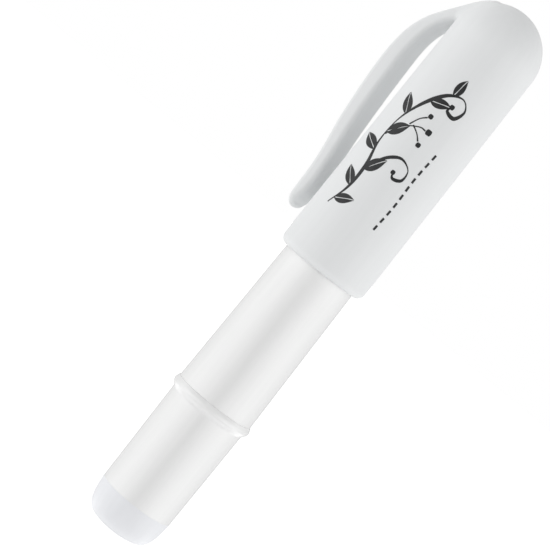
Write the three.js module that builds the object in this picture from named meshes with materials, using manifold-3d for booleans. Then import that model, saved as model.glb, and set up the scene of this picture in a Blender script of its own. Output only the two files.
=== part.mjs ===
// A chalk marking pen for fabric: a powder cartridge with a push-in rear plug, a barrel that carries a
// conical nose with a toothed dosing wheel, and a pull-off cap with a pocket clip.
//
// Units are millimetres. The pen stands on its rear end: +Z runs along its axis towards the crown of the
// cap, the origin is the centre of the flat rear face, and the pocket clip is on the -X side.
// Most pieces are turned shapes. Each one is a profile of (radius, height) points, revolved about Z.
import * as THREE from "three";
import { mergeVertices } from "three/addons/utils/BufferGeometryUtils.js";
import Module from "manifold-3d";

const wasm = await Module();
wasm.setup();

// ---- Driving dimensions ------------------------------------------------------------------------------
const PEN_LENGTH = 130;
const TURNED_SIDES = 40; // facets round a large turned piece
const FINE_SIDES = 24; // facets round a small one
const SLIP = 0.15; // radial gap between pieces that push together
const SEAT = 0.3; // axial gap where one piece rests on another
const CUT_GAP = 0.3; // gap across a parting line or a cut

const plug = { footR: 4.4, seamZ: 7.3, seamR: 8.25, spigotR: 6.95, spigotTopZ: 14.5, wall: 1.2 };
const cartridge = {
  frontR: 8.5,
  flangeR: 9.3,
  flangeZ: 30.6,
  flangeTopZ: 32.4,
  neckBaseR: 7.35,
  neckTopR: 6.75,
  mouthZ: 76,
  boreRearR: 6.4,
  boreFrontR: 5.75,
};
const powder = { bottomZ: 16, topZ: 60, crown: 0.4 };
const barrel = { rearR: 8.8, frontR: 7.87, frontZ: 84, boreRearR: 7.55, boreFrontR: 6.95 };
const nose = {
  spigotZ: 78.2,
  spigotR: 6.75,
  collarR: 7.6,
  collarTopZ: 86.2,
  baseR: 6.2,
  tipZ: 115.6,
  cheekHalf: 2.0,
};
const funnel = { seatR: 5.9, shoulderZ: 81.2, throatR: 1.6, bottomZ: 78.5, topZ: 106, wall: 0.9 };
const wheel = { centreZ: 113.4, tipR: 3.3, rootR: 2.95, teeth: 28, thickness: 0.9, slot: 1.3 };
const axle = { radius: 0.6, length: 3.1, running: 0.08, socket: 0.05 };
const cap = {
  mouthZ: 65.6,
  mouthR: 10.1,
  crownR: 9.7,
  lipRadius: 1.55,
  boreMouthR: 8.4,
  boreCrownR: 8.0,
  crownWall: 1.8,
  ribs: 6,
  ribInnerR: 6.8,
  ribThickness: 1.0,
  ribTopZ: 118,
};
const clip = { cutZ: 117.2, tipZ: 71.6, halfWidth: 3.05, swell: 0.55, bevel: 0.6 };

// ---- Helpers -----------------------------------------------------------------------------------------
const lerp = THREE.MathUtils.lerp;

/** Points on an elliptic arc about (cr, cz), from angle a0 to a1 in degrees. */
function arc(cr, cz, rr, rz, a0, a1, steps) {
  return Array.from({ length: steps + 1 }, (_, i) => {
    const a = THREE.MathUtils.degToRad(lerp(a0, a1, i / steps));
    return [cr + rr * Math.cos(a), cz + rz * Math.sin(a)];
  });
}

/** Points on a smooth curve through a few (radius, height) points. */
function smooth(points, steps) {
  const curve = new THREE.SplineCurve(points.map(([r, z]) => new THREE.Vector2(r, z)));
  return curve.getPoints(steps).map((p) => [p.x, p.y]);
}

/** A turned piece about Z. The outline starts and ends on the axis, with its inside to its left. */
function turned(outline, sides = TURNED_SIDES) {
  const points = outline.map(([r, z]) => new THREE.Vector2(Math.max(r, 0), z));
  return new THREE.LatheGeometry(points, sides).rotateX(Math.PI / 2);
}

/** A turned ring or tube, whose section is a closed outline clear of the axis. */
const hollow = (outline, sides) => turned([...outline, outline[0]], sides);

/** An outline drawn in X and Z, given thickness along Y and centred on the plane of X and Z. */
function plate(outline, thickness, bevel = 0) {
  const geometry = new THREE.ExtrudeGeometry(outline, {
    depth: thickness - 2 * bevel,
    bevelEnabled: bevel > 0,
    bevelThickness: bevel,
    bevelSize: bevel,
    bevelOffset: -bevel,
    bevelSegments: 2,
    curveSegments: 6,
  });
  return geometry.translate(0, 0, bevel - thickness / 2).rotateX(Math.PI / 2);
}

/** A box from its low corner to its high corner. */
function block(low, high) {
  const size = high.map((h, i) => h - low[i]);
  return new THREE.BoxGeometry(...size).translate(...high.map((h, i) => (h + low[i]) / 2));
}

/** A closed geometry as a manifold-3d solid, for a join or a cut. */
function solid(geometry) {
  const bare = new THREE.BufferGeometry().setAttribute("position", geometry.getAttribute("position"));
  bare.setIndex(geometry.index);
  const merged = mergeVertices(bare, 1e-4);
  return new wasm.Manifold(
    new wasm.Mesh({
      numProp: 3,
      vertProperties: merged.attributes.position.array,
      triVerts: new Uint32Array(merged.index.array),
    }),
  );
}

/** A manifold-3d solid as a three.js geometry. */
function geometryOf(body) {
  const { vertProperties, triVerts } = body.getMesh();
  const geometry = new THREE.BufferGeometry();
  geometry.setAttribute("position", new THREE.BufferAttribute(vertProperties, 3));
  geometry.setIndex(new THREE.BufferAttribute(triVerts, 1));
  geometry.computeVertexNormals();
  return geometry;
}

// ---- Radii that follow the mould drafts --------------------------------------------------------------
const crownZ = PEN_LENGTH - cap.crownR; // height at which the cap's side meets its domed crown
const along = (from, to, z) => THREE.MathUtils.inverseLerp(from, to, z);
const barrelOuterAt = (z) =>
  lerp(barrel.rearR, barrel.frontR, along(cartridge.flangeTopZ, barrel.frontZ, z));
const cartridgeBoreAt = (z) =>
  lerp(cartridge.boreRearR, cartridge.boreFrontR, along(plug.spigotTopZ, cartridge.mouthZ, z));

// ---- Rear plug: a rounded end with a hollow spigot that pushes into the cartridge --------------------
function rearPlug() {
  const end = new THREE.CubicBezierCurve(
    new THREE.Vector2(plug.footR, 0),
    new THREE.Vector2(6.7, 0),
    new THREE.Vector2(plug.seamR - 0.1, 3.4),
    new THREE.Vector2(plug.seamR, plug.seamZ - 0.5),
  );
  const floorZ = 4.2;
  const innerR = plug.spigotR - plug.wall;
  return turned([
    [0, 0],
    ...end.getPoints(9).map((p) => [p.x, p.y]),
    [plug.seamR, plug.seamZ],
    [plug.spigotR, plug.seamZ],
    [plug.spigotR, plug.spigotTopZ - 0.6],
    [plug.spigotR - 0.4, plug.spigotTopZ],
    [innerR, plug.spigotTopZ],
    [innerR - 0.3, floorZ],
    [0, floorZ],
  ]);
}

// ---- Cartridge: a tube with a stop flange, and a long neck that slides up inside the barrel ----------
function cartridgeTube() {
  const bottomZ = plug.seamZ + SEAT;
  const socketR = plug.spigotR + SLIP;
  const socketTopZ = plug.spigotTopZ + SEAT;
  const beadZ = (cartridge.flangeZ + cartridge.flangeTopZ) / 2;
  const beadHalf = (cartridge.flangeTopZ - cartridge.flangeZ) / 2;
  const beadDepth = cartridge.flangeR - cartridge.frontR;
  return hollow([
    [socketR, bottomZ],
    [plug.seamR, bottomZ],
    [cartridge.frontR, cartridge.flangeZ - 0.8],
    ...arc(cartridge.frontR, beadZ, beadDepth, beadHalf, -70, 70, 7),
    [cartridge.frontR, cartridge.flangeTopZ],
    [cartridge.neckBaseR, cartridge.flangeTopZ],
    [cartridge.neckTopR, cartridge.mouthZ - 0.5],
    [cartridge.neckTopR - 0.3, cartridge.mouthZ],
    [cartridge.boreFrontR, cartridge.mouthZ],
    [cartridge.boreRearR, socketTopZ + 0.5],
    [socketR, socketTopZ],
  ]);
}

// ---- Chalk: the powder charge, with a slightly domed surface -----------------------------------------
function chalkPowder() {
  return turned([
    [0, powder.bottomZ],
    [cartridgeBoreAt(powder.bottomZ) - SLIP, powder.bottomZ],
    [cartridgeBoreAt(powder.topZ) - SLIP, powder.topZ - 0.7],
    ...arc(0, powder.topZ - 0.7, 4.6, 0.7 + powder.crown, 50, 90, 3),
  ]);
}

// ---- Gasket: a soft ring that seals the cartridge mouth against the nose ------------------------------
function cartridgeGasket() {
  const bottomZ = cartridge.mouthZ + SEAT;
  const topZ = nose.spigotZ - SEAT;
  const middleZ = (bottomZ + topZ) / 2;
  const innerR = cartridge.boreFrontR - 0.4;
  return hollow([
    [innerR, bottomZ],
    ...arc(cartridge.neckTopR - 0.3, middleZ, 0.3, (topZ - bottomZ) / 2, -90, 90, 4),
    [innerR, topZ],
  ]);
}

// ---- Barrel: the sleeve that a hand holds, open at both ends ------------------------------------------
function barrelSleeve() {
  const bottomZ = cartridge.flangeTopZ + SEAT;
  return hollow([
    [barrel.boreRearR + 0.3, bottomZ],
    [barrelOuterAt(bottomZ) - 0.25, bottomZ],
    [barrelOuterAt(bottomZ), bottomZ + 0.3],
    [barrelOuterAt(barrel.frontZ - 0.4), barrel.frontZ - 0.4],
    [barrel.frontR - 0.35, barrel.frontZ],
    [barrel.boreFrontR, barrel.frontZ],
    [barrel.boreRearR, bottomZ + 1],
  ]);
}

// ---- Powder funnel: the one-piece lining that leads the chalk on to the wheel -------------------------
/** The funnel's outer outline, grown by a gap. */
const funnelOutline = (gap, bottomZ) => [
  [0, bottomZ],
  [funnel.seatR + gap, bottomZ],
  [funnel.seatR + gap, funnel.shoulderZ],
  [5.0 + gap, nose.collarTopZ + 1],
  [funnel.throatR + gap, funnel.topZ],
  [0, funnel.topZ],
];

function powderFunnel() {
  const outer = funnelOutline(0, funnel.bottomZ).slice(1, -1);
  const inner = outer.map(([r, z]) => [r - funnel.wall, z]).reverse();
  return hollow([...outer, ...inner], FINE_SIDES);
}

// ---- Nose: a cone that flattens to two cheeks, made in halves that meet in the plane of the wheel -----
function wholeNose() {
  const ledgeZ = barrel.frontZ + SEAT;
  const cone = [
    [nose.baseR, nose.collarTopZ],
    [5.35, 93],
    [4.5, 100],
    [3.85, 106],
    [3.35, 110],
    [2.9, 112.3],
    [2.2, 114.2],
    [1.1, 115.35],
    [0, nose.tipZ],
  ];
  const body = turned([
    [0, nose.spigotZ],
    [nose.spigotR - 0.2, nose.spigotZ],
    [nose.spigotR, nose.spigotZ + 0.3],
    [nose.spigotR, ledgeZ],
    [nose.collarR, ledgeZ],
    [nose.collarR, nose.collarTopZ - 0.3],
    [nose.collarR - 0.3, nose.collarTopZ],
    ...smooth(cone, 16),
  ]);
  const half = [
    [9, nose.spigotZ - 1],
    [9, 89],
    [nose.baseR, 91],
    [nose.cheekHalf + 0.15, 108],
    [nose.cheekHalf, nose.tipZ + 1],
  ];
  const mirrored = half.map(([y, z]) => [-y, z]).reverse();
  const sides = new THREE.Shape([...half, ...mirrored].map(([y, z]) => new THREE.Vector2(y, z)));
  return solid(body).intersect(solid(plate(sides, 20).rotateZ(Math.PI / 2)));
}

/** What is hollowed out of the nose: the funnel's seat, the wheel's pocket and the axle's holes. */
function noseHollow() {
  const pocket = new THREE.CylinderGeometry(wheel.tipR + 0.3, wheel.tipR + 0.3, wheel.slot, 32);
  const halfSlot = wheel.slot / 2;
  const channel = block([-1.4, -halfSlot, funnel.topZ - 0.5], [1.4, halfSlot, wheel.centreZ - 1]);
  const holeR = axle.radius + axle.socket;
  const hole = new THREE.CylinderGeometry(holeR, holeR, axle.length + 0.3, 16);
  return solid(turned(funnelOutline(0.2, nose.spigotZ - 1), FINE_SIDES))
    .add(solid(channel))
    .add(solid(pocket.translate(0, 0, wheel.centreZ)))
    .add(solid(hole.translate(0, 0, wheel.centreZ)));
}

function noseHalf(side) {
  const near = Math.min(side * CUT_GAP / 2, side * 20);
  const far = Math.max(side * CUT_GAP / 2, side * 20);
  const keep = block([-20, near, nose.spigotZ - 2], [20, far, nose.tipZ + 2]);
  return geometryOf(wholeNose().subtract(noseHollow()).intersect(solid(keep)));
}

// ---- Dosing wheel, and the pin that it turns on --------------------------------------------------------
function dosingWheel() {
  const pitch = (2 * Math.PI) / wheel.teeth;
  const rim = [];
  for (let i = 0; i < wheel.teeth; i++) {
    const corners = [
      [wheel.rootR, i - 0.26],
      [wheel.tipR, i - 0.06],
      [wheel.tipR, i + 0.06],
      [wheel.rootR, i + 0.26],
    ];
    rim.push(...corners.map(([r, k]) => new THREE.Vector2(r * Math.cos(k * pitch), r * Math.sin(k * pitch))));
  }
  const outline = new THREE.Shape(rim);
  outline.holes.push(new THREE.Path().absarc(0, 0, axle.radius + axle.running, 0, 2 * Math.PI, true));
  return plate(outline, wheel.thickness).translate(0, 0, wheel.centreZ);
}

function wheelAxle() {
  const pin = new THREE.CylinderGeometry(axle.radius, axle.radius, axle.length, 16);
  return pin.translate(0, 0, wheel.centreZ);
}

// ---- Pocket clip: a deep arm that springs from the crown and comes back to the side of the cap ----------
/** The clip seen from the side. Each point is its distance from the pen's axis, and its height. */
function clipOutline() {
  const outside = [
    [5.0, 128.3],
    [9.2, 125.5],
    [13.4, 120.8],
    [15.2, 118.4],
    [16.4, 115.9],
    [17.1, 113.4],
    [17.5, 111],
    [17.6, 108.5],
    [17.3, 101],
    [16.35, 91],
    [15.0, 81],
    [14.8, 76.5],
    [14.7, 73.4],
  ];
  const inside = [
    [12.75, 73.2],
    [12.05, 77.4],
    [12.45, 86],
    [13.3, 95.5],
    [13.7, 105],
    [13.75, 109],
    [13.2, 115],
    [12.3, 117.6],
    [9.4, 121],
  ];
  const tip = arc(13.7, clip.tipZ + 1.5, 1, 1.5, -12, -168, 7);
  const root = [
    [5, 121.5],
    [3, 124],
    [3, 126.5],
  ];
  const outline = [...smooth(outside, 30), ...tip, ...smooth(inside, 24), ...root];
  return new THREE.Shape(outline.map(([r, z]) => new THREE.Vector2(-r, z)));
}

/** Half the clip's width at a height: it swells gently below its bend, and ends in a round tip. */
function clipHalfWidth(z) {
  const { smoothstep } = THREE.MathUtils;
  const half = clip.halfWidth + clip.swell * smoothstep(z, 78, 100) * (1 - smoothstep(z, 106, 120));
  const intoTip = THREE.MathUtils.clamp(clip.tipZ + half - z, 0, 0.97 * half);
  return Math.sqrt(half * half - intoTip * intoTip);
}

/** The whole clip, with softened edges. */
function wholeClip() {
  const geometry = plate(clipOutline(), 2 * clip.halfWidth, clip.bevel);
  const at = geometry.getAttribute("position");
  for (let i = 0; i < at.count; i++) {
    at.setY(i, (at.getY(i) * clipHalfWidth(at.getZ(i))) / clip.halfWidth);
  }
  return solid(geometry);
}

/** The part of the clip above its cut (side 1) or below it (side -1). */
function clipPart(side) {
  const edge = clip.cutZ + side * (CUT_GAP / 2);
  const keep = block([-30, -30, Math.min(edge, edge + side * 80)], [30, 30, Math.max(edge, edge + side * 80)]);
  return wholeClip().intersect(solid(keep));
}

// ---- Cap: a shell with a rounded lip and a domed crown, stop ribs inside it, and the clip's root ---------
function capRibs() {
  const bottomZ = nose.collarTopZ + SEAT;
  const half = cap.ribThickness / 2;
  let ribs = null;
  for (let i = 0; i < cap.ribs; i++) {
    const rib = block([cap.ribInnerR, -half, bottomZ], [12, half, cap.ribTopZ]);
    const turnedRib = solid(rib.rotateZ(((i + 0.5) * 2 * Math.PI) / cap.ribs));
    ribs = ribs ? ribs.add(turnedRib) : turnedRib;
  }
  return ribs;
}

function capShell() {
  const lip = cap.lipRadius;
  const outside = turned([
    [0, cap.mouthZ],
    ...arc(cap.mouthR - lip, cap.mouthZ + lip, lip, lip, -90, 0, 5),
    ...arc(0, crownZ, cap.crownR, cap.crownR, 0, 90, 9),
  ]);
  const cavity = turned([
    [0, cap.mouthZ - 2],
    [cap.boreMouthR + 0.15, cap.mouthZ - 2],
    [cap.boreMouthR + 0.15, cap.mouthZ],
    [cap.boreMouthR, cap.mouthZ + 0.6],
    ...arc(0, crownZ, cap.boreCrownR, cap.crownR - cap.crownWall, 0, 90, 7),
  ]);
  const hollowed = solid(cavity).subtract(capRibs());
  return geometryOf(solid(outside).add(clipPart(1)).subtract(hollowed));
}

// ---- Assembly, from the rear end to the crown -------------------------------------------------------------
const pen = new THREE.Group();
pen.name = "chalk_marking_pen";

const plastic = (color, roughness) => new THREE.MeshStandardMaterial({ color, roughness, metalness: 0 });
const steel = () => new THREE.MeshStandardMaterial({ color: 0xc4c6c8, roughness: 0.25, metalness: 1 });

/** Adds one named piece to the pen. */
function add(name, geometry, material) {
  const mesh = new THREE.Mesh(geometry, material);
  mesh.name = name;
  pen.add(mesh);
}

add("rear_plug", rearPlug(), plastic(0xe2e4e9, 0.4));
add("cartridge_tube", cartridgeTube(), plastic(0xeeefee, 0.3));
add("chalk_powder", chalkPowder(), plastic(0xfbfbf8, 1));
add("cartridge_gasket", cartridgeGasket(), plastic(0xd5d6d3, 0.7));
add("barrel_sleeve", barrelSleeve(), plastic(0xeeefee, 0.3));
add("powder_funnel", powderFunnel(), plastic(0xf0f0ee, 0.4));
add("nose_half_left", noseHalf(-1), plastic(0xf0f0ee, 0.35));
add("nose_half_right", noseHalf(1), plastic(0xf0f0ee, 0.35));
add("wheel_axle", wheelAxle(), steel());
add("dosing_wheel", dosingWheel(), steel());
add("cap_shell", capShell(), plastic(0xdfe1e0, 0.55));
add("pocket_clip", geometryOf(clipPart(-1)), plastic(0xdfe1e0, 0.55));

export default pen;
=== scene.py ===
"""The looks of a chalk marking pen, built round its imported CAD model.

The pen stands on its rear end, with its axis on Z and its pocket clip on the -X side. Shapes are worked out
in millimetres, as (radius, height) profiles or as distance fields, and become metres when a mesh is made.
"""

import math

import bmesh
import bpy
import numpy as np
from mathutils import Matrix, Quaternion, Vector


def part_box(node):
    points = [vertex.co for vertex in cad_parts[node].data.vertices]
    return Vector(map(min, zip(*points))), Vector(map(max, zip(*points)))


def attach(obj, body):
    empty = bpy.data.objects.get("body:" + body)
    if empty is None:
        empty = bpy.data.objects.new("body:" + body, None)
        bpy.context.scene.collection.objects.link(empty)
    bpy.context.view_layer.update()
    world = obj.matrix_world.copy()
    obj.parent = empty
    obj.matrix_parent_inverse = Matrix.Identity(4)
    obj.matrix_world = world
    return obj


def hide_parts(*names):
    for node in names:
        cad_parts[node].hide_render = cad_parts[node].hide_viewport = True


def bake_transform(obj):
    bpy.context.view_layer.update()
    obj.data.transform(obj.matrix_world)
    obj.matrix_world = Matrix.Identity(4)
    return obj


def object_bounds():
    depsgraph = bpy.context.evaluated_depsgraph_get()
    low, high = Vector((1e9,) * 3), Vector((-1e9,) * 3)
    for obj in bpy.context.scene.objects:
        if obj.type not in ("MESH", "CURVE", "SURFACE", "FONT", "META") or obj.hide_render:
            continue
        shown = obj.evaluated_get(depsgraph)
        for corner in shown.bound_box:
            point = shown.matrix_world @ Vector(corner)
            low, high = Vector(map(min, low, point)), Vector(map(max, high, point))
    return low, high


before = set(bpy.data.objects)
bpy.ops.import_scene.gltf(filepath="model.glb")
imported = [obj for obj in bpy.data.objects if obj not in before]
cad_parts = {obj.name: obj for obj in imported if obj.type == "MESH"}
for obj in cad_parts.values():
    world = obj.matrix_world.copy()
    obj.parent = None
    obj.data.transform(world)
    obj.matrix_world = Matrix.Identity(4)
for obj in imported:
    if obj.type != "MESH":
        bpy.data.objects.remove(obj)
cad_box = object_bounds()

MM = 0.001


def node_box(name):
    """Lowest and highest corner of a CAD node, in millimetres."""
    low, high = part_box(name)
    return low / MM, high / MM


CAP_LOW, CAP_HIGH = node_box("cap_shell")
BARREL_HIGH = node_box("barrel_sleeve")[1]
TUBE_HIGH = node_box("cartridge_tube")[1]
PLUG_HIGH = node_box("rear_plug")[1]
GASKET_LOW, GASKET_HIGH = node_box("cartridge_gasket")
POWDER_LOW, POWDER_HIGH = node_box("chalk_powder")
FUNNEL_LOW, FUNNEL_HIGH = node_box("powder_funnel")
NOSE_LOW, NOSE_HIGH = node_box("nose_half_right")
WHEEL_LOW, WHEEL_HIGH = node_box("dosing_wheel")
AXLE_LOW, AXLE_HIGH = node_box("wheel_axle")
CLIP_LOW, CLIP_HIGH = node_box("pocket_clip")

# ---- Driving sizes, in millimetres ----------------------------------------------------------------------
SEAM = 0.002  # width of a closed joint line between two pieces
SEAM_R = 0.01  # rounding of the edges beside it
TURNED_SIDES = 192  # facets round a turned piece
SMALL_SIDES = 96  # the same on the small ones inside
PIN_SIDES = 48

PLUG_SEAM_R = PLUG_HIGH.x
PLUG_SEAM_Z = 7.3
PLUG_END = [(4.4, 0), (6.2, 0.62), (7.35, 2.1), (7.95, 4.2), (PLUG_SEAM_R, PLUG_SEAM_Z - 0.35)]
PLUG_FLAT_R = 2.42  # a ring of vertices that keeps the rear face flat
PLUG_SPIGOT_R = 6.95
PLUG_WALL = 1.2
PLUG_FLOOR_Z = 4.2

TUBE_FRONT_R = 8.5  # cartridge, just below its bead
BEAD_R = TUBE_HIGH.x
BEAD_Z = 30.6
BEAD_TOP_Z = 32.4
NECK_BASE_R = 7.35
NECK_TOP_R = 6.75
SOCKET_GAP = 0.15  # round the plug's spigot
SOCKET_DEPTH = 0.3  # past the spigot's end
CARTRIDGE_BORE_REAR_R = 6.4
CARTRIDGE_BORE_FRONT_R = 5.75

BARREL_REAR_R = 8.8
BARREL_FRONT_R = 7.87
BARREL_BORE_REAR_R = 7.55
BARREL_BORE_FRONT_R = 6.95

FUNNEL_OUTSIDE = [(5.9, FUNNEL_LOW.z), (5.9, 81.2), (5.0, 87.2), (1.6, FUNNEL_HIGH.z)]
FUNNEL_WALL = 0.9
FUNNEL_SPACE = [  # the nose's hollow round it, closed on the far side of the axis
    (-6, 70), (6.1, 70), (6.1, 81.3), (5.2, 87.4), (1.8, FUNNEL_HIGH.z + 0.2), (-6, 106.2),
]

NOSE_SPIGOT_R = 6.75
NOSE_COLLAR_R = NOSE_HIGH.x
NOSE_COLLAR_Z = 84.1
NOSE_COLLAR_TOP_Z = 86.2
NOSE_CONE = [
    (6.2, 86.2), (5.35, 93), (4.5, 100), (3.85, 106), (3.35, 110), (2.9, 112.3), (2.2, 114.2), (1.1, 115.35),
    (0, NOSE_HIGH.z), (-1, NOSE_HIGH.z),
]
NOSE_FLATS = [(88, 9.5), (91, 6.2), (108, 2.15), (116.6, 2.0)]  # half-distance between its cheeks, by height
NOSE_CHEEK_R = 0.5  # rounding of the cheeks' edges
NOSE_SLOT_R = 0.28  # of the edges round the wheel's slot
NOSE_JOINT_R = 0.18  # and of the edges where the halves meet
NOSE_CELL = 0.18  # size of the mesh's cells

WHEEL_Z = (WHEEL_LOW.z + WHEEL_HIGH.z) / 2
WHEEL_R = WHEEL_HIGH.x
WHEEL_HALF = WHEEL_HIGH.y
WHEEL_TEETH = 28
TOOTH_HEIGHT = 0.4
WHEEL_SLOT_HALF = 0.65  # half-width of the slot that it turns in
WHEEL_SLOT_GAP = 0.3  # beyond its teeth
FEED_HALF_WIDTH = 1.4  # the channel from the funnel to the wheel
FEED_Z = 109
FEED_HALF_LENGTH = 3.5
AXLE_R = AXLE_HIGH.x
AXLE_GAP = 0.05
AXLE_SOCKET_HALF = 1.7

CROWN_R = 9.7
CROWN_Z = CAP_HIGH.z - CROWN_R  # height where the cap's side meets its crown
MOUTH_R = CAP_HIGH.y
MOUTH_Z = CAP_LOW.z
LIP_R = 1.75  # rounding of the cap's lip, outside
LIP_INNER_R = 0.4
BORE_MOUTH_R = 8.4
BORE_CROWN_R = 8.0
CAP_CELL = 0.42
RIBS = 6
RIB_INNER_R = 6.8
RIB_HALF = 0.5
RIB_EDGE_R = 0.3
RIB_FILLET = 0.5
RIB_BOTTOM_Z = 86.5
RIB_TOP_Z = 118.0

CLIP_CUT_Z = 117.2  # where the clip's free arm starts
CLIP_SWELL = 0.55  # how much the clip's half-width grows below its bend
CLIP_SWELL_RISE = (78, 100)  # heights between which it grows, going up
CLIP_SWELL_FALL = (106, 120)  # and shrinks again
CLIP_HALF_WIDTH = CLIP_HIGH.y - CLIP_SWELL
CLIP_EDGE_R = 1.0
CLIP_TIP_X = 13.7  # distance of the tip's middle from the axis
CLIP_TIP_R = 0.98  # half-thickness of the rounded tip
CLIP_TIP_RISE = 1.5  # its height
CLIP_FILLET = 1.8  # in the corner between the crown and the clip
CLIP_CREASE = 0.02  # the same corner lower down, where the arm stands off the cap
CLIP_FILLET_RISE = (119.5, 123)  # heights between which the one becomes the other
CLIP_ONLY_X = -11  # beyond this there is nothing but the clip
CLIP_ARM_Z = 80  # and below this, what lies farthest out is its arm
CLIP_ROOT_X = -3  # the clip's inner end
CLIP_OUTSIDE = [
    (5.0, 128.3), (6.9, 127.4), (9.2, 125.5), (11.3, 123.2), (13.4, 120.8), (15.2, 118.4), (16.4, 115.9),
    (17.1, 113.4), (17.45, 111), (17.55, 108.5), (17.5, 105.5), (17.25, 101), (16.8, 96), (16.3, 91),
    (15.5, 86), (14.95, 81), (14.8, 76.5), (14.7, 73.4),
]
CLIP_INSIDE = [
    (12.75, 73.2), (12.3, 75), (12.05, 77.4), (12.1, 81), (12.45, 86), (12.95, 91), (13.3, 95.5),
    (13.55, 100), (13.7, 105), (13.75, 109), (13.65, 112), (13.2, 115), (12.3, 117.6), (11.5, 118.9),
    (10.6, 120.0), (9.4, 121.0),
]
CLIP_ROOT = [(5, 121.5), (3, 124), (3, 126.5)]  # hidden inside the crown

NET_CHUNKS = 24  # parts that a grid is worked out in, to save memory
NET_ROUNDS = 6  # times that a net is evened out and drawn on to its surface
NET_STEPS = 2  # steps toward the surface in each round
ON_CUT = 1e-7  # metres: how near the cut a vertex counts as on it


# ---- Mesh helpers ---------------------------------------------------------------------------------------
def new_object(name, vertices, faces):
    """A smooth-shaded mesh object from vertices in millimetres."""
    mesh = bpy.data.meshes.new(name)
    mesh.from_pydata([tuple(v) for v in np.asarray(vertices) * MM], [], faces)
    mesh.update()
    mesh.shade_smooth()
    made = bpy.data.objects.new(name, mesh)
    bpy.context.scene.collection.objects.link(made)
    return made


def weighted_normals(made):
    """Lets the large faces keep their own shading beside small roundings."""
    modifier = made.modifiers.new("weighted_normals", "WEIGHTED_NORMAL")
    modifier.mode = "FACE_AREA"
    modifier.weight = 60


def rounded(corners, steps=5):
    """An outline through corners of (radius, height, rounding): each rounded corner becomes a short arc."""
    points = []
    for i, (x, y, size) in enumerate(corners):
        here = np.array([x, y])
        if size == 0:
            points.append(here)
            continue
        before = np.array(corners[i - 1][:2]) - here
        after = np.array(corners[(i + 1) % len(corners)][:2]) - here
        before /= np.linalg.norm(before)
        after /= np.linalg.norm(after)
        half = math.acos(float(np.clip(before @ after, -1, 1))) / 2
        reach = size / math.tan(half)
        centre = here + (before + after) / np.linalg.norm(before + after) * size / math.sin(half)
        start = here + before * reach - centre
        sweep = math.pi - 2 * half
        turn = math.copysign(sweep, start[1] * before[0] - start[0] * before[1])
        for k in range(steps + 1):
            c, s = math.cos(turn * k / steps), math.sin(turn * k / steps)
            points.append(centre + np.array([start[0] * c - start[1] * s, start[0] * s + start[1] * c]))
    return points


def spline(points, count):
    """Points along a smooth curve through a few points."""
    p = np.array(points, float)
    p = np.vstack([2 * p[0] - p[1], p, 2 * p[-1] - p[-2]])
    out = []
    for t in np.linspace(0, len(p) - 3, count):
        i = min(int(t), len(p) - 4)
        u = t - i
        a, b, c, d = p[i : i + 4]
        cubic = (2 * b, c - a, 2 * a - 5 * b + 4 * c - d, 3 * b - a - 3 * c + d)
        out.append(0.5 * sum(term * u**power for power, term in enumerate(cubic)))
    return out


def turned(name, outline, sides=TURNED_SIDES):
    """A turned piece about Z, with the inside to the left of its outline.

    The outline is closed, or starts and ends on the axis.
    """
    closed = outline[0][0] > 0 or outline[-1][0] > 0
    vertices, rings = [], []
    for r, z in outline:
        count = sides if r > 1e-6 else 1
        rings.append(range(len(vertices), len(vertices) + count))
        for k in range(count):
            a = 2 * math.pi * k / sides
            vertices.append((r * math.cos(a), r * math.sin(a), z))
    faces = []
    for i in range(len(rings) if closed else len(rings) - 1):
        low, high = rings[i], rings[(i + 1) % len(rings)]
        for k in range(sides):
            n = (k + 1) % sides
            corners = [low[k % len(low)], low[n % len(low)], high[n % len(high)], high[k % len(high)]]
            faces.append(list(dict.fromkeys(corners)))
    made = new_object(name, vertices, faces)
    weighted_normals(made)
    return made


def mix(a, b, t):
    """From a to b as t goes from 0 to 1."""
    return a + (b - a) * t


def smoothstep(a, b, x):
    """From 0 to 1, level at both ends, as x goes from a to b."""
    t = np.clip((x - a) / (b - a), 0, 1)
    return t * t * (3 - 2 * t)


# ---- Distance fields, in millimetres --------------------------------------------------------------------
def round_max(a, b, radius):
    """Where both distances hold, with the edge between them rounded."""
    u, v = a + radius, b + radius
    return np.minimum(np.maximum(u, v), 0) + np.hypot(np.maximum(u, 0), np.maximum(v, 0)) - radius


def smooth_min(a, b, reach):
    """Where either distance holds, with a fillet in the corner between them."""
    h = np.maximum(reach - np.abs(a - b), 0) / reach
    return np.minimum(a, b) - h * h * reach / 4


def outline_distance(outline, x, y):
    """Signed distance to a closed polygon, negative inside."""
    a = np.asarray(outline)
    b = np.roll(a, -1, axis=0)
    nearest = np.full(x.shape, 1e9)
    inside = np.zeros(x.shape, bool)
    for (ax, ay), (bx, by) in zip(a, b):
        ex, ey = bx - ax, by - ay
        wx, wy = x - ax, y - ay
        t = np.clip((wx * ex + wy * ey) / (ex * ex + ey * ey), 0, 1)
        nearest = np.minimum(nearest, (wx - ex * t) ** 2 + (wy - ey * t) ** 2)
        crosses = (ay > y) != (by > y)
        side = ex * wy - ey * wx
        inside ^= crosses & ((side > 0) == (by > ay))
    return np.where(inside, -1, 1) * np.sqrt(nearest)


def clip_outline():
    """The clip seen from the side, as (distance from the axis, height)."""
    short = 0.2  # radians that the tip's arc stops short of each side
    turn = np.linspace(short, math.pi - short, 14)
    tip_z = CLIP_LOW.z + CLIP_TIP_RISE
    tip = [(CLIP_TIP_X + CLIP_TIP_R * math.cos(a), tip_z - CLIP_TIP_RISE * math.sin(a)) for a in turn]
    return np.array([*spline(CLIP_OUTSIDE, 110), *tip, *spline(CLIP_INSIDE, 90), *CLIP_ROOT])


CLIP_OUTLINE = clip_outline()


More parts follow.
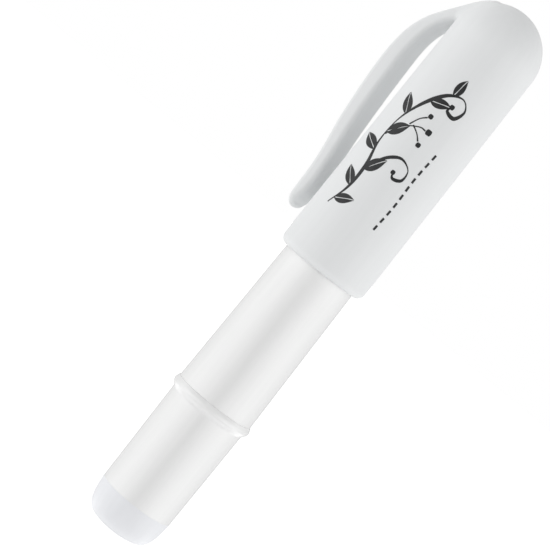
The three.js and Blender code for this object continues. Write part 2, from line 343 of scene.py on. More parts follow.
def clip_field(x, y, z):
    """The clip, solid, from its root inside the crown to its round tip."""
    side = outline_distance(CLIP_OUTLINE, -x, z)
    swell = smoothstep(*CLIP_SWELL_RISE, z) * (1 - smoothstep(*CLIP_SWELL_FALL, z))
    half_width = CLIP_HALF_WIDTH + CLIP_SWELL * swell
    below = np.minimum(z - (CLIP_LOW.z + CLIP_HALF_WIDTH), 0)
    return round_max(side, np.hypot(y, below) - half_width, CLIP_EDGE_R)


def cap_field(p):
    """The cap with its clip: the turned shell, its stop ribs and the arm that grows out of its crown."""
    x, y, z = p.T
    r = np.hypot(x, y)
    climb = (z - MOUTH_Z) / (CROWN_Z - MOUTH_Z)
    crown = np.sqrt(r**2 + np.maximum(z - CROWN_Z, 0) ** 2)
    outside = round_max(crown - mix(MOUTH_R, CROWN_R, np.clip(climb, 0, 1)), MOUTH_Z - z, LIP_R)
    far_off = 30.0
    near_clip = x < CLIP_ROOT_X
    arm = np.full(x.shape, far_off)
    arm[near_clip] = clip_field(x[near_clip], y[near_clip], z[near_clip])
    fillet = mix(CLIP_CREASE, CLIP_FILLET, smoothstep(*CLIP_FILLET_RISE, z))
    outside = smooth_min(outside, arm, fillet)
    bore = crown - mix(BORE_MOUTH_R, BORE_CROWN_R, np.clip(climb, 0, 1))
    step = 2 * math.pi / RIBS
    angle = (np.arctan2(y, x) % step) - step / 2
    across = np.abs(r * np.sin(angle)) - RIB_HALF
    rib = round_max(across, RIB_INNER_R - r * np.cos(angle), RIB_EDGE_R)
    along = np.abs(z - (RIB_BOTTOM_Z + RIB_TOP_Z) / 2) - (RIB_TOP_Z - RIB_BOTTOM_Z) / 2
    rib = round_max(rib, along, RIB_EDGE_R)
    hollow = -smooth_min(-bore, rib, RIB_FILLET)
    return round_max(outside, -hollow, LIP_INNER_R)


def gradient(field, p, step=0.01):
    """Direction and rate of change of a field at each point."""
    out = np.empty_like(p)
    for k in range(3):
        shift = np.zeros(3)
        shift[k] = step
        out[:, k] = (field(p + shift) - field(p - shift)) / (2 * step)
    return out


def net_quads(value):
    """A quad across each grid line on which a value changes sign, and the places of all their corners."""
    index = np.arange(value.size).reshape(value.shape)
    total = np.zeros((value.size, 3))
    count = np.zeros(value.size)
    quads = []
    for axis in range(3):
        first = [slice(0, -1) if k == axis else slice(1, -1) for k in range(3)]
        second = [slice(1, None) if k == axis else slice(1, -1) for k in range(3)]
        f0, f1 = value[tuple(first)], value[tuple(second)]
        crossing = np.argwhere((f0 < 0) != (f1 < 0))
        a, b = f0[tuple(crossing.T)], f1[tuple(crossing.T)]
        corner = crossing + np.array([0 if k == axis else 1 for k in range(3)])
        point = corner.astype(float)
        point[:, axis] += a / (a - b)
        u, v = (axis + 1) % 3, (axis + 2) % 3
        ring = []
        for du, dv in ((0, 0), (1, 0), (1, 1), (0, 1)):
            owner = corner.copy()
            owner[:, u] -= du
            owner[:, v] -= dv
            flat = index[tuple(owner.T)]
            np.add.at(total, flat, point)
            np.add.at(count, flat, 1)
            ring.append(flat)
        ring = np.stack(ring, 1)
        ring[a > 0] = ring[a > 0][:, ::-1]
        quads.append(ring)
    used, faces = np.unique(np.concatenate(quads), return_inverse=True)
    return total[used] / count[used][:, None], faces.reshape(-1, 4)


def settled(field, p, faces):
    """The corners of a net, evened out and drawn on to a field's surface."""
    edges = np.concatenate([faces[:, [0, 1]], faces[:, [1, 2]], faces[:, [2, 3]], faces[:, [3, 0]]])
    degree = np.bincount(edges.ravel(), minlength=len(p))[:, None]
    for turn in range(NET_ROUNDS):
        if turn:
            around = np.zeros_like(p)
            np.add.at(around, edges[:, 0], p[edges[:, 1]])
            np.add.at(around, edges[:, 1], p[edges[:, 0]])
            p = mix(p, around / degree, 0.5)
        for _ in range(NET_STEPS):
            g = gradient(field, p)
            p = p - g * (field(p) / np.maximum((g * g).sum(1), 0.25))[:, None]
    return p


def surface_net(field, low, high, cell):
    """A mesh of quads on the surface where a field is zero, inside a box of cubic cells."""
    axes = [np.arange(low[k], high[k] + cell, cell) for k in range(3)]
    grid = np.stack(np.meshgrid(*axes, indexing="ij"), -1).reshape(-1, 3)
    value = np.concatenate([field(part) for part in np.array_split(grid, NET_CHUNKS)])
    places, faces = net_quads(value.reshape([len(a) for a in axes]))
    return settled(field, places * cell + np.array(low), faces), faces


def linked_to(seed):
    """Every vertex that can be reached along edges from one of them."""
    found, front = {seed}, [seed]
    while front:
        v = front.pop()
        for e in v.link_edges:
            other = e.other_vert(v)
            if other not in found:
                found.add(other)
                front.append(other)
    return found


def open_at_cut(work):
    """Parts a bmesh along a line round the clip, where its free arm starts."""
    cut_z, only_x = CLIP_CUT_Z * MM, CLIP_ONLY_X * MM
    faces = [f for f in work.faces if f.calc_center_median().x < only_x]
    edges = list({e for f in faces for e in f.edges})
    corners = list({v for f in faces for v in f.verts})
    where = {"plane_co": (0, 0, cut_z), "plane_no": (0, 0, 1), "dist": ON_CUT}
    bmesh.ops.bisect_plane(work, geom=faces + edges + corners, **where)
    line = [e for e in work.edges if all(abs(v.co.z - cut_z) < ON_CUT and v.co.x < only_x for v in e.verts)]
    bmesh.ops.split_edges(work, edges=line)


def split_clip(mesh):
    """Two meshes from the cap's: the cap with the clip's root, and the clip's free arm, both closed."""
    parts = []
    for keep_arm in (False, True):
        work = bmesh.new()
        work.from_mesh(mesh)
        open_at_cut(work)
        arm = linked_to(min(work.verts, key=lambda v: (v.co.z > CLIP_ARM_Z * MM, v.co.x)))
        bmesh.ops.delete(work, geom=[v for v in work.verts if (v in arm) != keep_arm], context="VERTS")
        rim = [e for e in work.edges if e.is_boundary]
        bmesh.ops.holes_fill(work, edges=rim, sides=0)
        for e in rim:
            e.smooth = False
        part = bpy.data.meshes.new("part")
        work.to_mesh(part)
        work.free()
        parts.append(part)
    return parts


# ---- Materials ------------------------------------------------------------------------------------------
def nodes_of(name):
    """A new node material: its node tree, and its Principled shader."""
    material = bpy.data.materials.new(name)
    material.use_nodes = True
    tree = material.node_tree
    shader = tree.nodes["Principled BSDF"]
    return material, tree, shader


def noise(tree, scale, detail=3.0, stretch=(1, 1, 1)):
    """A noise texture in the object's own space. scale is in cells a metre."""
    where = tree.nodes.new("ShaderNodeTexCoord")
    place = tree.nodes.new("ShaderNodeMapping")
    place.inputs["Scale"].default_value = stretch
    texture = tree.nodes.new("ShaderNodeTexNoise")
    texture.inputs["Scale"].default_value = scale
    texture.inputs["Detail"].default_value = detail
    tree.links.new(where.outputs["Object"], place.inputs["Vector"])
    tree.links.new(place.outputs["Vector"], texture.inputs["Vector"])
    return texture.outputs["Fac"]


def ramp(tree, value, low, high):
    """Maps a 0 to 1 value on to two colours or two numbers."""
    made = tree.nodes.new("ShaderNodeValToRGB")
    made.color_ramp.elements[0].position = 0.3
    made.color_ramp.elements[1].position = 0.7
    for element, colour in zip(made.color_ramp.elements, (low, high)):
        colour = (colour,) * 3 if isinstance(colour, (int, float)) else colour
        element.color = (*colour, 1)
    tree.links.new(value, made.inputs["Fac"])
    return made.outputs["Color"]


def bump(tree, shader, height, strength, distance):
    """Bumps a shader's surface by a height from 0 to 1. distance is in metres."""
    made = tree.nodes.new("ShaderNodeBump")
    made.inputs["Strength"].default_value = strength
    made.inputs["Distance"].default_value = distance
    tree.links.new(height, made.inputs["Height"])
    tree.links.new(made.outputs["Normal"], shader.inputs["Normal"])


def moulded_plastic(name, dark, light, roughness, grain, grain_height):
    """Moulded plastic: a colour with faint flow lines along the pen, and the fine grain of the mould.

    grain is in cells a metre, and grain_height in metres.
    """
    material, tree, shader = nodes_of(name)
    flow = noise(tree, 900, 3, (1, 1, 0.06))
    tree.links.new(ramp(tree, flow, dark, light), shader.inputs["Base Color"])
    bump(tree, shader, noise(tree, grain, 4), strength=0.35, distance=grain_height)
    shader.inputs["Roughness"].default_value = roughness
    return material


def soften(material, share, reach):
    """Lets light spread inside a plastic, as far as reach in millimetres."""
    shader = material.node_tree.nodes["Principled BSDF"]
    shader.inputs["Subsurface Weight"].default_value = share
    shader.inputs["Subsurface Radius"].default_value = (1.0, 1.0, 1.0)
    shader.inputs["Subsurface Scale"].default_value = reach * MM
    return material


def cap_plastic():
    """Cool white, with the matte finish of a fine mould."""
    dark, light = (0.793, 0.805, 0.810), (0.808, 0.820, 0.825)
    return moulded_plastic("cap_plastic", dark, light, roughness=0.5, grain=5200, grain_height=0.00003)


def tube_plastic():
    """Glossier than the cap, like polished styrene."""
    dark, light = (0.852, 0.854, 0.852), (0.876, 0.877, 0.874)
    made = moulded_plastic("tube_plastic", dark, light, roughness=0.3, grain=2600, grain_height=0.00001)
    shader = made.node_tree.nodes["Principled BSDF"]
    shader.inputs["IOR"].default_value = 1.58
    shader.inputs["Coat Weight"].default_value = 1.0
    shader.inputs["Coat Roughness"].default_value = 0.15
    return made


def plug_plastic():
    """A slightly bluer white than the tubes."""
    dark, light = (0.825, 0.835, 0.862), (0.845, 0.855, 0.882)
    return moulded_plastic("plug_plastic", dark, light, roughness=0.35, grain=3200, grain_height=0.00001)


def nose_plastic():
    """Warmer and a little translucent."""
    dark, light = (0.85, 0.85, 0.84), (0.88, 0.88, 0.87)
    made = moulded_plastic("nose_plastic", dark, light, roughness=0.33, grain=3200, grain_height=0.00001)
    return soften(made, share=0.2, reach=2.0)


def soft_seal():
    """Grey rubber."""
    dark, light = (0.57, 0.58, 0.57), (0.63, 0.64, 0.63)
    return moulded_plastic("soft_seal", dark, light, roughness=0.7, grain=2500, grain_height=0.00002)


def chalk():
    """Pressed powder: dry, with a coarse grain."""
    material, tree, shader = nodes_of("chalk")
    colour = ramp(tree, noise(tree, 1500, 6), (0.86, 0.86, 0.84), (0.95, 0.95, 0.935))
    tree.links.new(colour, shader.inputs["Base Color"])
    shader.inputs["Roughness"].default_value = 0.95
    shader.inputs["Specular IOR Level"].default_value = 0.15
    bump(tree, shader, noise(tree, 3800, 6), strength=0.8, distance=0.00012)
    return material


def steel(name, stretch):
    """Bright steel, with fine marks that run one way."""
    material, tree, shader = nodes_of(name)
    marks = noise(tree, 2600, 4, stretch)
    tree.links.new(ramp(tree, marks, (0.52, 0.52, 0.53), (0.68, 0.68, 0.69)), shader.inputs["Base Color"])
    tree.links.new(ramp(tree, marks, 0.22, 0.36), shader.inputs["Roughness"])
    bump(tree, shader, marks, strength=0.3, distance=0.00001)
    shader.inputs["Metallic"].default_value = 1
    return material


def ink():
    """Black printing ink, a little uneven in its gloss."""
    material, tree, shader = nodes_of("print_ink")
    colour = ramp(tree, noise(tree, 1800, 3), (0.004, 0.005, 0.006), (0.012, 0.013, 0.014))
    tree.links.new(colour, shader.inputs["Base Color"])
    tree.links.new(ramp(tree, noise(tree, 900, 3), 0.45, 0.6), shader.inputs["Roughness"])
    bump(tree, shader, noise(tree, 5200, 3), strength=0.3, distance=0.00001)
    return material


def finish_piece(made, material, slot, body, *replaced):
    """Gives a piece its material and its body, and hides the CAD nodes it stands for. slot is not used."""
    made.data.materials.clear()
    made.data.materials.append(material)
    if body:
        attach(made, body)
    if replaced:
        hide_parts(*replaced)
    return made


# ---- Pieces, from the rear end to the crown --------------------------------------------------------------
def rear_plug():
    """The rounded end, with the hollow spigot that goes into the cartridge."""
    inner_r = PLUG_SPIGOT_R - PLUG_WALL
    spigot = rounded([
        (PLUG_SEAM_R, PLUG_SEAM_Z - 0.4, 0),
        (PLUG_SEAM_R, PLUG_SEAM_Z, SEAM_R),
        (PLUG_SPIGOT_R, PLUG_SEAM_Z, 0.12),
        (PLUG_SPIGOT_R, PLUG_HIGH.z, 0.45),
        (inner_r, PLUG_HIGH.z, 0.2),
        (inner_r - 0.3, PLUG_FLOOR_Z, 1.2),
        (0, PLUG_FLOOR_Z, 0),
    ], 5)
    end = spline(PLUG_END, 26)[:-1]
    return turned("rear_plug_moulding", [(0, 0), (PLUG_FLAT_R, 0), *end, *spigot])


def cartridge_tube():
    """The lower tube: a socket for the plug, a bead that stops the barrel, and a neck inside it."""
    bottom = PLUG_SEAM_Z + SEAM
    socket_r = PLUG_SPIGOT_R + SOCKET_GAP
    socket_top = PLUG_HIGH.z + SOCKET_DEPTH
    outline = rounded([
        (socket_r, bottom, 0.15),
        (PLUG_SEAM_R, bottom, SEAM_R),
        (TUBE_FRONT_R, BEAD_Z - 0.6, 0.9),
        (BEAD_R - 0.03, BEAD_Z + 0.3, 0.8),
        (BEAD_R, BEAD_TOP_Z - 0.85, 1.2),
        (BEAD_R - 0.34, BEAD_TOP_Z, 0.12),
        (NECK_BASE_R, BEAD_TOP_Z, 0.15),
        (NECK_TOP_R, TUBE_HIGH.z, 0.35),
        (CARTRIDGE_BORE_FRONT_R, TUBE_HIGH.z, 0.2),
        (CARTRIDGE_BORE_REAR_R, socket_top + 0.5, 0.3),
        (socket_r, socket_top, 0.15),
    ], 6)
    return turned("cartridge_moulding", outline)


def chalk_powder():
    """The charge of chalk, heaped at its top."""
    low, high, r = POWDER_LOW.z, POWDER_HIGH.z, POWDER_HIGH.x
    wall = [(r, low), (r * 0.99, mix(low, high, 0.3)), (r * 0.96, high - 1.1)]
    heap = [(4.6, high - 0.65), (3.3, high - 0.2), (1.8, high - 0.12), (0, high)]
    return turned("chalk_charge", [(0, low), *wall, *heap])


def barrel_sleeve():
    """The upper tube, which tapers towards the nose."""
    bottom = BEAD_TOP_Z + SEAM
    outline = rounded([
        (BARREL_BORE_REAR_R + 0.3, bottom, 0.1),
        (BARREL_REAR_R, bottom, SEAM_R),
        (BARREL_FRONT_R, BARREL_HIGH.z, 0.5),
        (BARREL_BORE_FRONT_R, BARREL_HIGH.z, 0.2),
        (BARREL_BORE_REAR_R, bottom + 1.2, 0.8),
    ], 6)
    return turned("barrel_moulding", outline)


def gasket():
    """The soft ring between the cartridge's mouth and the nose."""
    low, high = GASKET_LOW.z, GASKET_HIGH.z
    inner = CARTRIDGE_BORE_FRONT_R - 0.4
    outline = rounded([
        (inner, low, 0.3),
        (GASKET_HIGH.x, low, 0.4),
        (GASKET_HIGH.x, high, 0.4),
        (inner, high, 0.3),
    ], 5)
    return turned("cartridge_seal", outline, SMALL_SIDES)


def powder_funnel():
    """The lining that leads the powder to the wheel."""
    inside = [(r - FUNNEL_WALL, z) for r, z in reversed(FUNNEL_OUTSIDE)]
    outline = rounded([(r, z, 0.2) for r, z in FUNNEL_OUTSIDE + inside], 4)
    return turned("funnel_lining", outline, SMALL_SIDES)


def nose_outline():
    """The nose as (radius, height), closed on the far side of the axis: spigot, collar and cone."""
    collar = rounded([
        (0, NOSE_LOW.z, 0),
        (NOSE_SPIGOT_R, NOSE_LOW.z, 0.3),
        (NOSE_SPIGOT_R, NOSE_COLLAR_Z, 0.1),
        (NOSE_COLLAR_R, NOSE_COLLAR_Z, 0.15),
        (NOSE_COLLAR_R, NOSE_COLLAR_TOP_Z, 0.35),
        (6.3, NOSE_COLLAR_TOP_Z, 0.2),
        (6.1, 87.4, 0),
    ], 5)
    cone = spline(NOSE_CONE, 70)[3:]
    return np.array([(-6, NOSE_LOW.z), *collar[1:-1], *cone, (-6, NOSE_HIGH.z)])


NOSE_OUTLINE = nose_outline()


def nose_field(p):
    """The right half of the nose: a cone that flattens to a cheek, hollow for the funnel and the wheel."""
    x, y, z = p.T
    r = np.hypot(x, y)
    cheek = np.abs(y) - np.interp(z, *zip(*NOSE_FLATS))
    body = round_max(outline_distance(NOSE_OUTLINE, r, z), cheek, NOSE_CHEEK_R)
    seat = outline_distance(FUNNEL_SPACE, r, z)
    from_wheel = np.hypot(x, z - WHEEL_Z)
    across = np.abs(y) - WHEEL_SLOT_HALF
    pocket = round_max(from_wheel - (WHEEL_R + WHEEL_SLOT_GAP), across, 0.1)
    feed = np.maximum(np.maximum(np.abs(x) - FEED_HALF_WIDTH, across), np.abs(z - FEED_Z) - FEED_HALF_LENGTH)
    socket = np.maximum(from_wheel - (AXLE_R + AXLE_GAP), np.abs(y) - AXLE_SOCKET_HALF)
    hollow = np.minimum(np.minimum(seat, pocket), np.minimum(feed, socket))
    return round_max(round_max(body, -hollow, NOSE_SLOT_R), SEAM / 2 - y, NOSE_JOINT_R)


def nose_halves():
    """Both halves of the nose, which meet in the plane of the wheel."""
    margin = 0.6
    low = (-NOSE_HIGH.x - margin, -margin, NOSE_LOW.z - margin)
    high = (NOSE_HIGH.x + margin, NOSE_HIGH.y + margin, NOSE_HIGH.z + margin)
    vertices, faces = surface_net(nose_field, low, high, NOSE_CELL)
    right = new_object("nose_right_half", vertices, faces.tolist())
    left = new_object("nose_left_half", vertices * (1, -1, 1), faces[:, ::-1].tolist())
    return left, right


def wheel_section():
    """The wheel's section as (radius, place along its axis): a hub, a thin web and a rim."""
    web = 0.26
    near = [
        (AXLE_R + 0.08, WHEEL_HALF, 0.08),
        (1.35, WHEEL_HALF, 0.12),
        (1.5, web, 0.1),
        (2.3, web, 0.1),
        (2.42, WHEEL_HALF, 0.12),
        (WHEEL_R - 0.12, WHEEL_HALF, 0.1),
        (WHEEL_R, 0.22, 0.1),
    ]
    far = [(r, -y, size) for r, y, size in reversed(near)]
    return rounded(near + far, 3)


def dosing_wheel():
    """A steel disc with a raised hub and a toothed rim, swept round its own axis along Y."""
    section = wheel_section()
    ring = len(section)
    per_tooth = 10
    count = WHEEL_TEETH * per_tooth
    vertices, faces = [], []
    for k in range(count):
        angle = 2 * math.pi * k / count
        phase = abs((k % per_tooth) / per_tooth - 0.5) * 2
        notch = TOOTH_HEIGHT * float(smoothstep(0.35, 0.85, phase))
        for r, y in section:
            share = smoothstep(2.5, WHEEL_R - 0.1, r)
            size = r - notch * float(share)
            vertices.append((size * math.cos(angle), y, WHEEL_Z + size * math.sin(angle)))
        here, there = k * ring, (k + 1) % count * ring
        for i in range(ring):
            n = (i + 1) % ring
            faces.append([here + i, here + n, there + n, there + i])
    made = new_object("toothed_wheel", vertices, faces)
    weighted_normals(made)
    return made


def wheel_axle():
    """The pin that the wheel turns on, turned about Z and then laid along Y."""
    outline = rounded([
        (0, AXLE_LOW.y, 0),
        (AXLE_R, AXLE_LOW.y, 0.12),
        (AXLE_R, AXLE_HIGH.y, 0.12),
        (0, AXLE_HIGH.y, 0),
    ], 4)
    made = turned("wheel_pin", outline, PIN_SIDES)
    made.data.transform(Matrix.Rotation(math.pi / 2, 4, "X"))
    made.data.transform(Matrix.Translation((0, 0, WHEEL_Z * MM)))
    return made


def cap_and_clip():
    """The cap's shell and the clip's arm: one smooth moulding, parted where the arm starts to flex."""
    margin = 0.9
    low = (CLIP_LOW.x - margin, CAP_LOW.y - margin, CAP_LOW.z - margin)
    high = (CAP_HIGH.x + margin, CAP_HIGH.y + margin, CAP_HIGH.z + margin)
    vertices, faces = surface_net(cap_field, low, high, CAP_CELL)
    whole = bpy.data.meshes.new("cap_whole")
    whole.from_pydata([tuple(v) for v in vertices * MM], [], faces.tolist())
    made = []
    for name, mesh in zip(("cap_moulding", "clip_arm"), split_clip(whole)):
        mesh.shade_smooth()
        points = np.array([v.co for v in mesh.vertices]) / MM
        normals = gradient(cap_field, points)
        normals /= np.linalg.norm(normals, axis=1)[:, None]
        mesh.normals_split_custom_set_from_vertices(normals.tolist())
        part = bpy.data.objects.new(name, mesh)
        bpy.context.scene.collection.objects.link(part)
        made.append(part)
    bpy.data.meshes.remove(whole)
    return made


# ---- The print on the cap: a leafy sprig with curling tendrils, beside a line of running stitches ---------
PRINT_ANGLE = math.radians(279)  # where the print's middle lies, round from +X
INK_HEIGHT = 0.03  # above the cap, and as far below its surface
HAIRLINE = 0.02  # half the width of the thinnest stroke
LEAF_LENGTH = 5.2
LEAF_HALF_WIDTH = 1.25
LEAF_TURNS = (-48, 46)  # degrees from the stem, right and left in turn
STITCH_HALF_WIDTH = 0.24

STEM = [
    (-4.9, 77.4), (-3.2, 82.0), (-3.1, 87.4), (-4.3, 92.8), (-3.9, 98.3), (-1.7, 103.6), (1.2, 107.6),
    (4.2, 108.9), (5.9, 107.2), (5.0, 104.9), (3.1, 105.3), (3.5, 106.8),
]
TENDRIL = [(-3.2, 85.6), (-1.2, 90.2), (1.7, 92.6), (4.3, 91.7), (4.6, 89.4), (2.9, 88.6), (2.1, 90.0)]
TWIGS = [
    [(-4.2, 94.6), (-2.0, 97.8), (0.8, 99.6), (2.2, 99.7)],
    [(-1.2, 98.9), (-0.2, 100.9), (0.9, 102.0)],
    [(-0.4, 99.2), (1.2, 98.3), (2.3, 97.2)],
]
BERRIES = [(3.4, 106.4, 0.5), (2.3, 89.6, 0.45), (2.9, 99.8, 0.62), (1.3, 102.5, 0.5), (2.8, 96.7, 0.5)]
LEAF_PLACES = [0.03, 0.1, 0.17, 0.24, 0.31, 0.39, 0.48, 0.57]  # shares of the stem's length
STITCHES = [(6.3, 78.2), (6.7, 84.5), (6.5, 91.0), (6.9, 97.5)]


def on_cap(u, v, lift):
    """A point of the print: u round the cap, v up it, lift above its surface."""
    r = mix(MOUTH_R, CROWN_R, (v - MOUTH_Z) / (CROWN_Z - MOUTH_Z))
    a = PRINT_ANGLE + u / r
    return ((r + lift) * math.cos(a), (r + lift) * math.sin(a), v)


def stroke(line, width):
    """A stroke of ink along a line of (u, v): half its width at each share of its length is width(share)."""
    line = [np.array(p, float) for p in line]
    rails = []
    for i, p in enumerate(line):
        ahead = line[min(i + 1, len(line) - 1)] - line[max(i - 1, 0)]
        ahead /= np.linalg.norm(ahead)
        side = np.array([-ahead[1], ahead[0]]) * max(width(i / (len(line) - 1)), HAIRLINE)
        rails.append([p + side, p, p - side])
    vertices = [on_cap(*q, lift) for three in rails for lift in (INK_HEIGHT, -INK_HEIGHT) for q in three]
    faces = []
    loop = [0, 1, 2, 5, 4, 3]
    for i in range(len(rails) - 1):
        for a, b in zip(loop, loop[1:] + loop[:1]):
            faces.append([6 * i + a, 6 * i + b, 6 * i + 6 + b, 6 * i + 6 + a])
    last = 6 * (len(rails) - 1)
    faces.append([0, 3, 4, 1])
    faces.append([1, 4, 5, 2])
    faces.append([last + i for i in (0, 1, 4, 3)])
    faces.append([last + i for i in (1, 2, 5, 4)])
    return vertices, faces


def pen_line(points, thin, thick, swells):
    """A flowing stroke whose width swells a few times along it, as a broad nib's does."""
    line = spline(points, 14 * len(points))
    return stroke(line, lambda t: mix(thin, thick, math.sin(swells * math.pi * t) ** 2))


def dash(start, end, half_width):
    """A stroke with round ends."""
    start, end = np.array(start), np.array(end)
    length = np.linalg.norm(end - start)

    def width(t):
        to_end = min(t, 1 - t) * length
        return math.sqrt(max(half_width**2 - max(half_width - to_end, 0) ** 2, 0))

    cap_steps = half_width / length * (1 - np.cos(np.linspace(0, math.pi / 2, 7)))
    steps = [*cap_steps, *(1 - cap_steps[::-1])]
    return stroke([mix(start, end, t) for t in steps], width)


def leaf(root, angle, length, half_width):
    """An almond-shaped leaf in two blades, with a bare line between them for its vein."""
    ahead = np.array([math.cos(angle), math.sin(angle)])
    aside = np.array([-ahead[1], ahead[0]])
    vein = 0.07

    def edge(t):
        return max(half_width * math.sin(math.pi * t**0.85) ** 0.9, vein)

    blades = []
    for side in (-1, 1):
        line = []
        for t in np.linspace(0, 1, 17):
            curl = 0.10 * length * math.sin(math.pi * t / 2) ** 2
            across = side * (edge(t) + vein) / 2 + curl
            line.append(np.array(root) + ahead * length * t + aside * across)
        blades.append(stroke(line, lambda t: (edge(t) - vein) / 2))
    return blades


def cap_print():
    """Every stroke of the print, as one piece."""
    parts = [pen_line(STEM, 0.12, 0.4, 3), pen_line(TENDRIL, 0.11, 0.34, 2)]
    parts += [pen_line(twig, 0.15, 0.11, 1) for twig in TWIGS]
    path = spline(STEM, 200)
    for i, share in enumerate(LEAF_PLACES):
        k = round(share * len(path))
        along = path[k + 3] - path[k - 3]
        heading = math.atan2(along[1], along[0])
        turn = math.radians(LEAF_TURNS[i % 2])
        size = 1 - 0.35 * abs(2 * share - 0.5)
        parts += leaf(path[k], heading + turn, LEAF_LENGTH * size, LEAF_HALF_WIDTH * size)
    for u, v, size in BERRIES:
        parts.append(dash((u, v - size), (u, v + size), size))
    seam = spline(STITCHES, 100)
    for k in range(2, 98, 10):
        parts.append(dash(seam[k], seam[k + 6], STITCH_HALF_WIDTH))
    vertices, faces = [], []
    for points, quads in parts:
        faces += [[len(vertices) + i for i in quad] for quad in quads]
        vertices += points
    made = new_object("cap_print", vertices, faces)
    bm = bmesh.new()
    bm.from_mesh(made.data)
    bmesh.ops.recalc_face_normals(bm, faces=bm.faces)
    bm.to_mesh(made.data)
    bm.free()
    made.data.shade_flat()
    return made


# ---- Assembly --------------------------------------------------------------------------------------------
def build_pen():
    """Every piece, with its material, and the body it moves with."""
    tube, nose, cap = tube_plastic(), nose_plastic(), cap_plastic()
    finish_piece(rear_plug(), plug_plastic(), "plug_plastic", "rear_plug", "rear_plug")
    finish_piece(cartridge_tube(), tube, "tube_plastic", "cartridge", "cartridge_tube")
    finish_piece(chalk_powder(), chalk(), "chalk", "cartridge", "chalk_powder")
    finish_piece(gasket(), soft_seal(), "soft_seal", "cartridge", "cartridge_gasket")
    finish_piece(barrel_sleeve(), tube, "tube_plastic", "barrel", "barrel_sleeve")
    finish_piece(powder_funnel(), nose, "nose_plastic", "barrel", "powder_funnel")
    left, right = nose_halves()
    finish_piece(left, nose, "nose_plastic", "barrel", "nose_half_left")
    finish_piece(right, nose, "nose_plastic", "barrel", "nose_half_right")
    finish_piece(wheel_axle(), steel("pin_steel", (1, 8, 1)), "wheel_steel", "barrel", "wheel_axle")
    finish_piece(dosing_wheel(), steel("wheel_steel", (1, 1, 1)), "wheel_steel", "wheel", "dosing_wheel")
    shell, arm = cap_and_clip()
    finish_piece(shell, cap, "cap_plastic", "cap", "cap_shell")
    finish_piece(arm, cap, "cap_plastic", None, "pocket_clip")
    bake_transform(arm)
    finish_piece(cap_print(), ink(), "cap_plastic", "cap")


# ---- Studio ----------------------------------------------------------------------------------------------
VIEW_AZIMUTH = math.radians(27)
VIEW_ELEVATION = math.radians(3.1)
VIEW_DISTANCE = 0.45
VIEW_ROLL = math.radians(38.5)  # the pen leans to the upper right
PEN_IN_FRAME = 1.195  # the pen's length as a share of the frame's width
TARGET_UP_PEN = 0.4569  # how far up the pen the frame's middle is, as a share of its length
TARGET_BESIDE = -0.0063  # metres to the right of the pen's axis


def toward(azimuth, elevation):
    """The direction from the pen to something at an azimuth and elevation."""
    level = math.cos(elevation)
    return Vector((math.sin(azimuth) * level, -math.cos(azimuth) * level, math.sin(elevation)))


def camera():
    """The camera of the photograph, rolled so that the pen lies across the frame."""
    length = (cad_box[1] - cad_box[0]).z
    right = Vector((math.cos(VIEW_AZIMUTH), math.sin(VIEW_AZIMUTH), 0))
    target = Vector((0, 0, cad_box[0].z + length * TARGET_UP_PEN)) + right * TARGET_BESIDE
    back = toward(VIEW_AZIMUTH, VIEW_ELEVATION)
    data = bpy.data.cameras.new("camera")
    data.sensor_width = 36
    data.lens = data.sensor_width * VIEW_DISTANCE / (length / PEN_IN_FRAME)
    data.clip_start, data.clip_end = 0.01, 20
    made = bpy.data.objects.new("camera", data)
    made.location = target + back * VIEW_DISTANCE
    made.rotation_mode = "QUATERNION"
    made.rotation_quaternion = (-back).to_track_quat("-Z", "Y") @ Quaternion((0, 0, 1), VIEW_ROLL)
    bpy.context.scene.collection.objects.link(made)
    bpy.context.scene.camera = made


STUDIO_STRENGTH = 2.0
LIGHT_STEP = 12  # degrees between the places where its light is worked out
HORIZON_EDGE = (0.25, 0.5)  # sines of the elevation between which the horizon's light gives way
# The share of the studio's light that is left, by sine of the elevation: a dim band low down, a dim ceiling.
HEIGHT = [(-1, 1), (-0.9, 0.95), (-0.74, 0.6), (-0.55, 0.97), (-0.1, 1), (0.3, 1), (0.8, 0.5), (1, 0.5)]


def horizon_light(angle):
    """Brightness near the horizon, where the gloss shows it, by degrees round from the camera.

    A dark slot opens into a broad panel on each side, and the panels fade into a dim back.
    """
    slot, panel, back = 0.11, 1.82, 0.65
    panel_at, back_from = 67, 128
    if angle < panel_at:
        return mix(slot, panel, math.sin(math.pi / 2 * angle / panel_at))
    return mix(panel, back, float(smoothstep(panel_at, back_from, angle)))


def ambient_light(angle):
    """Brightness above and below that: even in front, brighter beside and behind, and dimmer at the back."""
    front, beside, back = 0.81, 1.59, 0.95
    rise = float(smoothstep(42, 120, angle))
    fall = float(smoothstep(132, 185, angle))
    return mix(front, beside, rise) - (beside - back) * fall


def looked_up(tree, value, stops, most):
    """A value from 0 to 1 looked up in (place, brightness) stops, as a share of the most there is."""
    made = tree.nodes.new("ShaderNodeValToRGB")
    elements = made.color_ramp.elements
    for _ in stops[2:]:
        elements.new(0.5)
    for element, (place, brightness) in zip(elements, sorted(stops)):
        element.position = place
        element.color = (brightness / most,) * 3 + (1,)
    tree.links.new(value, made.inputs["Fac"])
    return made.outputs["Color"]


def mapped(tree, value, low, high, curve="LINEAR"):
    """A value from low to high, mapped on to 0 to 1."""
    made = tree.nodes.new("ShaderNodeMapRange")
    made.interpolation_type = curve
    made.inputs["From Min"].default_value = low
    made.inputs["From Max"].default_value = high
    tree.links.new(value, made.inputs["Value"])
    return made.outputs["Result"]


def blended(tree, share, a, b):
    """From colour a to colour b as share goes from 0 to 1."""
    made = tree.nodes.new("ShaderNodeMix")
    made.data_type = "RGBA"
    tree.links.new(share, made.inputs["Factor"])
    tree.links.new(a, made.inputs["A"])
    if isinstance(b, tuple):
        made.inputs["B"].default_value = b
    else:
        tree.links.new(b, made.inputs["B"])
    return made.outputs["Result"]


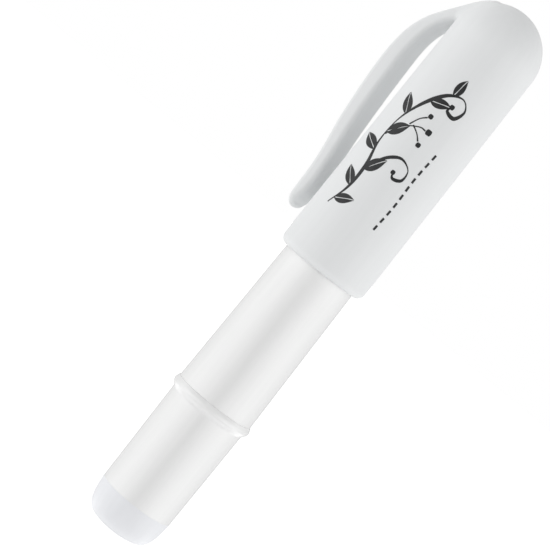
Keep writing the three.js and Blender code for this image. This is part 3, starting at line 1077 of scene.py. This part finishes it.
def vector_math(tree, operation, a, b=None):
    """A vector operation on a, and on b where it takes two. b may be a constant."""
    made = tree.nodes.new("ShaderNodeVectorMath")
    made.operation = operation
    tree.links.new(a, made.inputs[0])
    if isinstance(b, (tuple, Vector)):
        made.inputs[1].default_value = b
    elif b:
        tree.links.new(b, made.inputs[1])
    return made.outputs["Value" if operation == "DOT_PRODUCT" else "Vector"]


def surroundings():
    """A white studio: broad light panels to both sides, and a dark slot between them by the camera."""
    world = bpy.data.worlds.new("studio")
    bpy.context.scene.world = world
    world.use_nodes = True
    tree = world.node_tree
    background = tree.nodes["Background"]
    background.inputs["Strength"].default_value = STUDIO_STRENGTH
    direction = tree.nodes.new("ShaderNodeTexCoord").outputs["Generated"]
    split = tree.nodes.new("ShaderNodeSeparateXYZ")
    tree.links.new(direction, split.inputs["Vector"])
    level = vector_math(tree, "NORMALIZE", vector_math(tree, "MULTIPLY", direction, (1, 1, 0)))
    facing = mapped(tree, vector_math(tree, "DOT_PRODUCT", level, toward(VIEW_AZIMUTH, 0)), -1, 1)
    walls = []
    for light in (horizon_light, ambient_light):
        angles = range(0, 181, LIGHT_STEP)
        stops = [((1 + math.cos(math.radians(angle))) / 2, light(angle)) for angle in angles]
        walls.append(looked_up(tree, facing, stops, STUDIO_STRENGTH))
    steepness = tree.nodes.new("ShaderNodeMath")
    steepness.operation = "ABSOLUTE"
    tree.links.new(split.outputs["Z"], steepness.inputs[0])
    away = mapped(tree, steepness.outputs["Value"], *HORIZON_EDGE, curve="SMOOTHSTEP")
    heights = [((1 + z) / 2, share) for z, share in HEIGHT]
    height = looked_up(tree, mapped(tree, split.outputs["Z"], -1, 1), heights, 1)
    room = vector_math(tree, "MULTIPLY", blended(tree, away, *walls), height)
    white = (1 / STUDIO_STRENGTH,) * 3 + (1,)
    seen = tree.nodes.new("ShaderNodeLightPath").outputs["Is Camera Ray"]
    tree.links.new(blended(tree, seen, room, white), background.inputs["Color"])


FLOOR_HALF = 2.0  # metres
FLOOR_GAP = 0.00002  # below the pen, in metres
FLOOR_GLOW = 0.62


def studio_floor():
    """A wide pale floor, lit from within a little so that it stays white round the soft contact shadow."""
    mesh = bpy.data.meshes.new("studio_floor")
    level = cad_box[0].z - FLOOR_GAP
    corners = [(x * FLOOR_HALF, y * FLOOR_HALF, level) for x, y in ((-1, -1), (1, -1), (1, 1), (-1, 1))]
    mesh.from_pydata(corners, [], [(0, 1, 2, 3)])
    made = bpy.data.objects.new("studio_floor", mesh)
    made.visible_diffuse = False
    made.visible_glossy = False
    made.visible_shadow = False
    bpy.context.scene.collection.objects.link(made)
    material, tree, shader = nodes_of("floor_white")
    colour = ramp(tree, noise(tree, 6, 2), (0.80, 0.80, 0.80), (0.82, 0.82, 0.82))
    tree.links.new(colour, shader.inputs["Base Color"])
    shader.inputs["Roughness"].default_value = 0.9
    shader.inputs["Specular IOR Level"].default_value = 0.0
    shader.inputs["Emission Color"].default_value = (1, 1, 1, 1)
    shader.inputs["Emission Strength"].default_value = FLOOR_GLOW
    mesh.materials.append(material)


build_pen()
surroundings()
studio_floor()
camera()
bpy.context.scene.view_settings.view_transform = "Standard"
